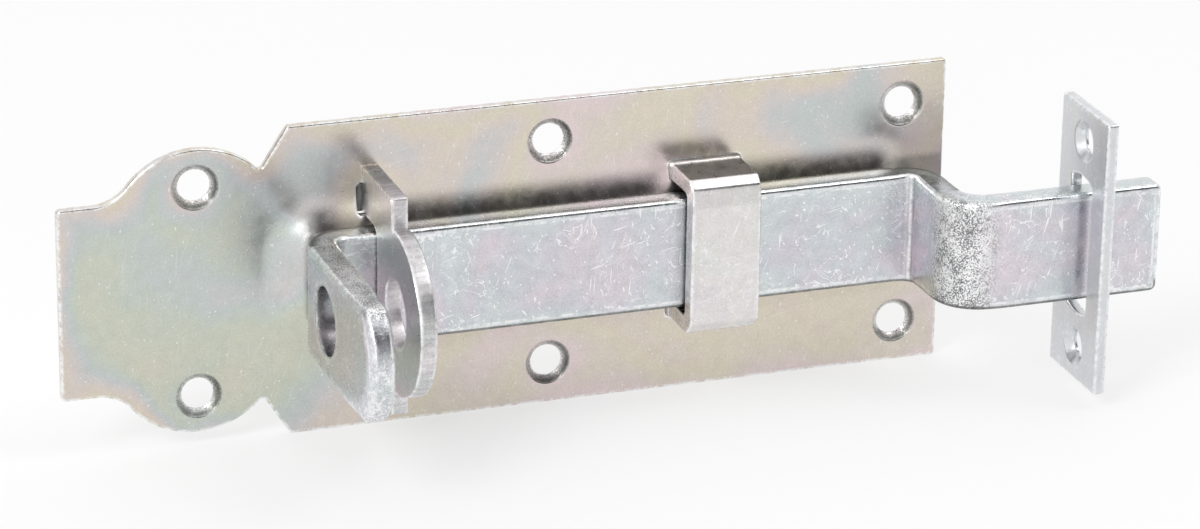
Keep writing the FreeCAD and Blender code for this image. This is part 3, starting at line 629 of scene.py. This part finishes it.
# The bar's middle line as straight runs and arcs: (length, turn in degrees, radius).
first_run = (back_of_bar - bar_thick - 2.0) - handle_tip
main_run = (crank_left - 1.4) - (handle_left + bar_thick + 2.0)
crank_run = (back_of_bar - bar_thick - 1.4) - (end_back + 2.8)
end_run = tip_right - (crank_left + bar_thick + 2.8)
runs = [(first_run, 0), (2.0 + mid, -90), (main_run, 0), (1.4 + mid, -90), (crank_run, 0), (2.8 + mid, 90), (end_run, 0)]


def along_bar(s):
    """Place, heading and turn rate on the bar's middle line at distance s: the runs end to end,
    an arc turning evenly by its angle."""
    x, y, heading, start = handle_left + mid, handle_tip, math.radians(90), 0.0
    place = np.zeros((len(s), 2))
    facing = np.zeros(len(s))
    bending = np.zeros(len(s))
    for index, (length, turned) in enumerate(runs):
        radius = length
        if turned:
            length = radius * math.radians(abs(turned))
        last = index == len(runs) - 1
        here = (s >= start if index else s > -1e9) & ((s < start + length) | last)
        t = s[here] - start
        if turned:
            sign = math.copysign(1, turned)
            centre_x, centre_y = x - sign * radius * math.sin(heading), y + sign * radius * math.cos(heading)
            angle = heading + sign * t / radius
            place[here] = np.stack([centre_x + sign * radius * np.sin(angle), centre_y - sign * radius * np.cos(angle)], 1)
            facing[here] = angle
            end = heading + math.radians(turned)
            x, y = centre_x + sign * radius * math.sin(end), centre_y - sign * radius * math.cos(end)
            heading = end
        else:
            place[here] = np.stack([x + t * math.cos(heading), y + t * math.sin(heading)], 1)
            facing[here] = heading
            x, y = x + length * math.cos(heading), y + length * math.sin(heading)
        if turned:
            centre = start + length / 2
            bending += math.copysign(1, turned) * np.exp(-(((s - centre) / (length * 0.62)) ** 4))
        start += length
    return place, facing, bending, start


total = along_bar(np.zeros(1))[3]
tip_radius, tip_corner = 12.5, 1.6
sagitta = tip_radius - math.sqrt(tip_radius ** 2 - bar_half ** 2)
swing = math.degrees(math.asin(bar_half / tip_radius))
tip_arc = arc(tip_radius, 0, tip_radius, 180 + swing, 180 - swing)
bar_outline = outline(
    [(sagitta, -bar_half, 1.2)] + [tuple(point) for point in tip_arc[2:-2]] + [(sagitta, bar_half, 1.2), (total, bar_half, 1.2), (total, -bar_half, 1.2)], 0.7
)
angle = np.radians(np.linspace(0, 90, 6))
bar_edge = [(1.15, 5.0)] + [(0.85 * (1 - math.sin(t)), 5.0 - 0.8 * (1 - math.cos(t))) for t in angle]
bar_edge += [(0.0, c) for c in (3.6, 2.5, 1.4)] + [(inward, 5.0 - c) for inward, c in bar_edge[::-1]]
hole_s = handle_tip * -1 - 20.5
hole_edge = [(0.6, 5.0), (0.35, 5.0), (0.18, 4.95), (0.06, 4.83), (0, 4.65), (0, 3.2), (0, 1.8), (0.03, 0.5), (0.1, 0.12), (0.25, 0), (0.5, 0)]
edges = [(bar_outline, False, bar_edge), (arc(hole_s, 0, 5.85, 0, 360, 0.4)[:-1], True, hole_edge)]
starts = np.cumsum([0] + [length * (math.radians(abs(turned)) if turned else 1) for length, turned in runs])
bends = np.concatenate([np.arange(starts[i] - 2, starts[i + 1] + 2, 0.4) for i in (1, 3, 5)])
lines_s = np.unique(np.round(np.concatenate([np.arange(0.8, total, 1.1), bends]), 3))
bolt_mesh = flat_part("bolt_bar", bar_thick, edges, lines_s, np.arange(-9.4, 9.5, 0.94))
flat = corners_of(bolt_mesh)
line, facing, bending, total = along_bar(flat[:, 0])
through = flat[:, 2] - mid
inner_side = np.where(bending < 0, through, -through) / mid
bulge = 1 + 0.022 * np.abs(bending) * inner_side
away = edge_distance(flat[:, :2], [loop for loop, hole, profile in edges])

# The handle's end was cropped hot and tumbled: its faces fall away towards the rim. The rim of the
# whole bar is a little uneven.
near_end = np.clip((14 - flat[:, 0]) / 12, 0, 1)
crown = 1 - 0.30 * near_end * np.exp(-(away / 1.3) ** 2)
dents = uneven(flat, 5.0, 3) * 0.05 + uneven(flat, 1.8, 4) * 0.03
through = through * crown + np.sign(through) * np.minimum(dents * (1 + 1.5 * near_end) * np.exp(-away / 1.5), 0)
across = np.clip(flat[:, 1] * bulge, -bar_half - 0.18, bar_half + 0.18)
place = np.column_stack([
    line[:, 0] + through * np.sin(facing),
    line[:, 1] - through * np.cos(facing),
    across,
])
bar_film = [
    (0.0, (0.69, 0.62, 0.675)), (0.35, (0.69, 0.64, 0.68)), (0.55, (0.65, 0.63, 0.685)), (0.75, (0.60, 0.635, 0.665)),
    (1.0, (0.65, 0.695, 0.695)),
]
bar_zinc = zinc_plating(
    "bar_zinc", bar_film, (0.7, 0.4, 0.9), cloud=42.0, fringe=0.7, rough=0.28, strokes=1.5,
    grain=0.09, rub_width=0.7, scrape=1.0
)
outer_side = np.clip(-inner_side * 1.6 - 0.2, 0, 1) * np.abs(bending) ** 2
# Painted shade: the rear part of the bar's rim, towards the back plate and between the bends, is painted dark.
shade_rear_of_edge = (away < 0.3) * np.clip((1.8 - flat[:, 2]) / 0.9, 0, 1) * ((flat[:, 0] > starts[1]) & (flat[:, 0] < starts[5]))
# Painted shadow: a thin dark line along the lower rounded edge of the bar's front face, for the shadowed gap above the
# plate.
shadow_under_edge = 0.9 * (away < 0.7) * np.clip((4.995 - flat[:, 2]) / 0.035, 0, 1) * (flat[:, 1] < -8) * (flat[:, 0] > starts[1])
worn_end = near_end * np.exp(-(away / 0.9) ** 2) * 0.2
hammered = 0.9 * (away < 0.3) * np.clip((starts[2] - flat[:, 0]) / 6, 0, 1) * np.clip((flat[:, 0] - 2.6) / 1.5, 0.3, 1)
hammered *= np.clip((1.95 - np.abs(through)) / 0.5, 0, 1) * (np.abs(flat[:, 1]) > 6.5)
# Painted shade: the wall of the padlock hole is painted half dark.
shade_in_hole = 0.5 * (away < 0.3) * (np.abs(flat[:, 1]) < 6.5) * (flat[:, 0] > 15) * (flat[:, 2] < 4.7)
arris = arris_distance(away, flat[:, 2], bar_thick, 0.5)
crank_crease = np.abs(flat[:, 0] - (starts[3] + starts[4]) / 2)
arris = np.where(flat[:, 2] > 4.8, np.minimum(arris, crank_crease * 0.7), arris)
# Painted shade: dark bands either side of the crank's crease on the bar's front face.
shade_beside_crease = 0.4 * np.exp(-(((crank_crease - 1.5) / 0.6) ** 2)) * (flat[:, 2] > 4.8)
finish_piece(
    "bolt_bar", bolt_mesh, place, "bolt", "bolt", "bar_zinc", bar_zinc,
    from_edge=away, from_arris=arris, bent=np.abs(bending),
    peened=np.maximum(np.maximum(outer_side, worn_end), hammered), soiled=np.max([shade_rear_of_edge, shadow_under_edge, shade_in_hole, shade_beside_crease], 0),
)


# ---- Padlock staple -----------------------------------------------------------------------------
# Stamped from 3 mm plate: square shoulders rest on the back plate, a round nose holds the eye, and
# a window lets the bar through. Two tenons go through the back plate and are riveted over.
staple_left = 52.9 + PLATE_LEFT
staple_thick = 3.0
nose = 20.5
joint = math.degrees(math.asin((20.5 - 18.3) / 14.3))
staple_outline = outline(
    [(0.3, 16.2, 0.55), (1.5, 16.2), (1.5, 19.6, 0.55), (18.3, 19.6, 0.55)]
    + [tuple(point) for point in arc(nose, 0, 14.3, 90 + joint, -90 - joint)]
    + [(18.3, -19.6, 0.55), (1.5, -19.6, 0.55), (1.5, -16.2), (0.3, -16.2, 0.55), (0.3, -11.2, 0.55)]
    + [(10.0, -11.2, 2.4), (10.0, 11.2, 2.4), (0.3, 11.2, 0.55)], 0.5
)
stamped_edge = [(0.5, 3.0), (0.34, 3.0), (0.2, 2.96), (0.08, 2.85), (0.01, 2.66), (0, 2.2), (0.0, 1.5), (0.03, 0.8), (0.06, 0.1), (0.12, 0), (0.3, 0)]
edges = [(staple_outline, False, stamped_edge), (arc(nose, 0, 5.95, 0, 360, 0.35)[:-1], True, stamped_edge)]
staple_mesh = flat_part("padlock_staple_stamping", staple_thick, edges, np.arange(0.6, 35, 1.0), np.arange(-19, 19.5, 1.0))
flat = corners_of(staple_mesh)
away = edge_distance(flat[:, :2], [loop for loop, hole, profile in edges])
cut_wall = ((away < 0.2) & (flat[:, 2] > 0.2) & (flat[:, 2] < 2.7)).astype(float)
arris = arris_distance(away, flat[:, 2], staple_thick, 0.2)
place = np.column_stack([staple_left + flat[:, 2], -flat[:, 0], flat[:, 1]])


def riveted_ends(name, left, far, low, high, thick):
    """The two hammered ends that fill a pair of slots: flush domed pads, dented by the hammer."""
    pads = []
    for bottom, top in ((low, high), (-high, -low)):
        rim = outline([(left, bottom, 0.8), (far, bottom, 0.8), (far, top, 0.8), (left, top, 0.8)], 0.5)
        dome = [(0.75, thick), (0.5, thick - 0.05), (0.25, thick - 0.16), (0.06, thick - 0.32), (0, thick - 0.5)]
        dome += [(0, 0.12), (0.05, 0.03), (0.16, 0), (0.4, 0)]
        pads.append(flat_part(name, thick, [(rim, False, dome)], np.arange(left + 0.5, far, 0.6), np.arange(bottom + 0.5, top, 0.6)))
    pad = joined(*pads)
    flat = corners_of(pad)
    hammer = np.maximum(uneven(flat[:, :2], 2.4, 8), 0) * 0.12
    depth = np.where(flat[:, 2] < thick / 2, flat[:, 2] + hammer, flat[:, 2] - hammer)
    return pad, np.column_stack([flat[:, 0] + PLATE_LEFT, -depth, flat[:, 1]])


def joined(*meshes):
    """One mesh of several, their vertices in order."""
    shell = bmesh.new()
    for mesh in meshes:
        shell.from_mesh(mesh)
    shell.to_mesh(meshes[0])
    shell.free()
    return meshes[0]


pads, pad_place = riveted_ends("staple_rivets", 51.85, 56.95, 10.95, 16.45, 0.7)
staple_mesh = joined(staple_mesh, pads)
place = np.vstack([place, pad_place])
pad_paint = np.ones(len(pad_place))
staple_film = [
    (0.0, (0.56, 0.59, 0.57)), (0.45, (0.60, 0.615, 0.605)), (0.8, (0.68, 0.64, 0.665)), (1.0, (0.72, 0.67, 0.69)),
]
staple_zinc = zinc_plating(
    "staple_zinc", staple_film, (0.2, 0.8, 0.5), cloud=50.0, fringe=0.4, rough=0.3, scuffs=0.7,
    drawn_along=(10, 1, 1)
)
# Painted shade: the front parts of the riveted pads, deep in their slots in the back plate, are painted dark.
finish_piece(
    "padlock_staple_stamping", staple_mesh, place, "fixed_parts", "padlock_staple", "staple_zinc", staple_zinc,
    from_edge=np.append(away, pad_paint), from_arris=np.append(arris, pad_paint),
    bent=np.append(cut_wall, pad_paint * 0.0), peened=np.append(cut_wall * 0.15, pad_paint * 0.3),
    soiled=np.append(cut_wall * 0.0, pad_place[:, 1] < -0.3),
)


# ---- Guide loop ---------------------------------------------------------------------------------
# A 3 mm strap bent over the bar: two flats make its upper bend and a bevel its lower one. Both legs
# go through slots in the runway, where riveting has swollen them.
loop_left, loop_width = 108.5 + PLATE_LEFT, 12.8
front, top = 13.0, 14.2
first, second = 11.0, 12.4
strap_outline = outline([
    (0.3, top, 0.65), (first, top, 0.7), (second, top - 1.4, 0.9), (front, top - 4.9, 1.2),
    (front, -top + 2.2, 0.8), (front - 2.2, -top, 0.8), (0.3, -top, 0.65),
    (0.3, -11.2, 0.65), (10.0, -11.2, 1.0), (10.0, 11.2, 1.0), (0.3, 11.2, 0.65),
], 0.5)
strap_edge = [(0.6, loop_width), (0.4, loop_width), (0.2, loop_width - 0.05), (0.06, loop_width - 0.18), (0, loop_width - 0.4)]
strap_edge += [(0.0, c) for c in np.linspace(11.4, 1.4, 9)] + [(inward, loop_width - c) for inward, c in strap_edge[::-1]]
edges = [(strap_outline, False, strap_edge)]
strap_mesh = flat_part("guide_loop_strap", loop_width, edges, np.arange(0.8, 13, 0.9), np.arange(-14, 14.2, 0.9))
flat = corners_of(strap_mesh)
away = edge_distance(flat[:, :2], [strap_outline])
place = np.column_stack([loop_left + flat[:, 2], -flat[:, 0], flat[:, 1]])
loop_film = [
    (0.0, (0.74, 0.70, 0.72)), (0.4, (0.78, 0.74, 0.745)), (0.7, (0.76, 0.74, 0.71)), (1.0, (0.73, 0.75, 0.74)),
]
loop_zinc = zinc_plating("loop_zinc", loop_film, (0.9, 0.3, 0.1), cloud=60.0, rough=0.3, scuffs=0.85, grain=0.08)
from_side = np.minimum(flat[:, 2], loop_width - flat[:, 2])
side_face = (from_side < 0.02).astype(float)
arris = arris_distance(away, flat[:, 2], loop_width, 0.25)
pads, pad_place = riveted_ends("loop_rivets", 108.25, 121.55, 10.95, 14.45, 2.9)
strap_mesh = joined(strap_mesh, pads)
place = np.vstack([place, pad_place])
pad_paint = np.ones(len(pad_place))
finish_piece(
    "guide_loop_strap", strap_mesh, place, "fixed_parts", "guide_loop", "loop_zinc", loop_zinc,
    from_edge=np.append(from_side, pad_paint), from_arris=np.append(arris, pad_paint),
    bent=np.append(side_face * 0.5, pad_paint * 0.0), peened=np.append(side_face * 0.35, pad_paint * 0.3),
    soiled=np.append(side_face * 0.0, pad_paint * 0.0),
)


# ---- Striker plate ------------------------------------------------------------------------------
# A 2 mm plate for the jamb: punched slot with arched ends for the bolt and two countersunk holes.
striker_left = 176.1 + PLATE_LEFT
slot_middle, slot_half_width, slot_reach, arch = 25.0, 4.0, 11.7, 0.9
arch_radius = (slot_half_width ** 2 + arch ** 2) / (2 * arch)
arch_swing = math.degrees(math.asin(slot_half_width / arch_radius))
striker_outline = outline([
    (slot_middle - 9.3, -25, 0.5), (slot_middle + 9.3, -25, 0.5), (slot_middle + 9.3, 25, 0.5), (slot_middle - 9.3, 25, 0.5)
], 0.8)
upper_end = arc(slot_middle, slot_reach + arch - arch_radius, arch_radius, 90 - arch_swing, 90 + arch_swing)
slot_loop = outline([tuple(point) for point in upper_end] + [tuple(point) for point in -upper_end * [1, 1] + [2 * slot_middle, 0]], 0.5)
striker_edge = [(0.45, 2.0), (0.36, 2.0), (0.22, 1.96), (0.08, 1.85), (0, 1.65), (0, 1.0), (0, 0.1), (0.08, 0), (0.25, 0)]
striker_screw = [(1.7, 2.0), (1.44, 2.0), (1.34, 1.96), (1.25, 1.88), (0.7, 1.36), (0.1, 0.8), (0, 0.66), (0, 0.1), (0.08, 0), (0.25, 0)]
edges = [(striker_outline, False, striker_edge), (slot_loop, True, striker_edge)]
for sign in (1, -1):
    edges.append((arc(slot_middle, sign * 19.0, 2.3, 0, 360, 0.28)[:-1], True, striker_screw))
striker_mesh = flat_part("striker_plate_punched", 2.0, edges, np.arange(slot_middle - 8.8, slot_middle + 9, 1.1), np.arange(-24.4, 24.6, 1.1))
flat = corners_of(striker_mesh)
away = edge_distance(flat[:, :2], [loop for loop, hole, profile in edges])
place = np.column_stack([striker_left + 2.0 - flat[:, 2], -flat[:, 0], flat[:, 1]])
striker_film = [(0.0, (0.66, 0.68, 0.71)), (0.5, (0.69, 0.70, 0.73)), (1.0, (0.72, 0.73, 0.73))]
striker_zinc = zinc_plating("striker_zinc", striker_film, (0.5, 0.6, 0.3), cloud=60.0, fringe=0.3, rough=0.34, scuffs=0.6)
finish_piece(
    "striker_plate_punched", striker_mesh, place, "fixed_parts", "striker_plate", "striker_zinc", striker_zinc,
    from_edge=away, from_arris=arris_distance(away, flat[:, 2], 2.0, 0.2),
    bent=np.zeros(len(flat)), peened=np.zeros(len(flat)), soiled=np.zeros(len(flat)),
)
